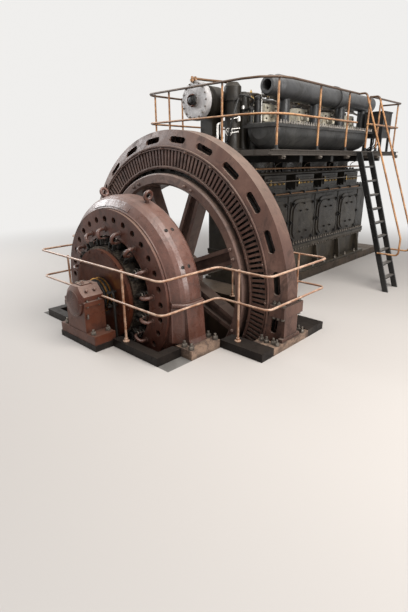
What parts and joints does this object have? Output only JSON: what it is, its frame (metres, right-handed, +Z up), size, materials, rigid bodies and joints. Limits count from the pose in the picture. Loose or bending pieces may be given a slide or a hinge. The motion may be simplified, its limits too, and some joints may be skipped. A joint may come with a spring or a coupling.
{
  "type": "stationary diesel generating set with flywheel alternator and exciter",
  "caption": "Stationary engine generating set: vertical engine with platform and ladder, slotted flywheel alternator, exciter and outboard bearing on concrete foundations.",
  "frame": {"origin": "on the underside of the engine's foundation, below the shaft, at the crankcase's generator end", "axes": "+X along the shaft from the alternator to the engine, +Y across, +Z up"},
  "size_m": [8.485, 4.501, 5.3448],
  "materials": {
    "concrete": "bare concrete, stained",
    "kerb_black": "semi-gloss",
    "sole_iron": "worn",
    "generator_paint": "satin, worn",
    "exciter_paint": "satin, worn",
    "dark_iron": "dusty",
    "winding": "matt",
    "engine_paint": "semi-gloss, oily",
    "head_paint": "satin, stained",
    "black_paint": "semi-gloss",
    "pipe_copper": "satin",
    "deck_plate": "dusty",
    "silver_paint": "satin",
    "steel": "machined",
    "slip_ring_brass": "polished",
    "commutator_copper": "dull"
  },
  "bodies": {
    "root": {"engine_foundation": "concrete", "side_foundations": "concrete", "exciter_piers": "concrete", "front_foundation": "concrete", "kerbs": "kerb_black", "alternator_soles": "sole_iron", "exciter_soles": "sole_iron", "bearing_pedestal": "exciter_paint", "bearing_cap": "exciter_paint", "exciter_frame": "exciter_paint", "exciter_shield": "exciter_paint", "exciter_poles": "winding", "brush_gear": "exciter_paint", "lifting_eyes": "exciter_paint", "stator_frame": "generator_paint", "stator_core": "dark_iron", "stator_windings": "winding", "shield_exciter_side": "generator_paint", "shield_engine_side": "generator_paint", "bedplate": "engine_paint", "crankcase": "engine_paint", "crankcase_doors": "engine_paint", "pump_row": "engine_paint", "cylinder_jackets": "engine_paint", "cylinder_heads": "head_paint", "exhaust_trough": "black_paint", "air_pipe": "black_paint", "fuel_pipes": "engine_paint", "platform_beams": "black_paint", "platform_deck": "deck_plate", "platform_posts": "pipe_copper", "platform_rails": "pipe_copper", "ladder": "black_paint", "ladder_handrails": "pipe_copper", "compressor": "black_paint", "compressor_cover": "silver_paint", "compressor_cylinders": "engine_paint", "service_tank": "black_paint", "guard_posts": "pipe_copper", "guard_rails": "pipe_copper"},
    "rotor": {"shaft": "steel", "rotor_spider": "generator_paint", "rotor_rim": "generator_paint", "rotor_poles": "dark_iron", "armature": "winding", "commutator": "commutator_copper", "commutator_cover": "exciter_paint", "slip_rings": "slip_ring_brass"}
  },
  "joints": [
    {"name": "rotor_turn", "type": "hinge", "parent": "root", "child": "rotor", "pos_m": [0, 0, 2.34], "axis": [1, 0, 0], "continuous": true}
  ]
}
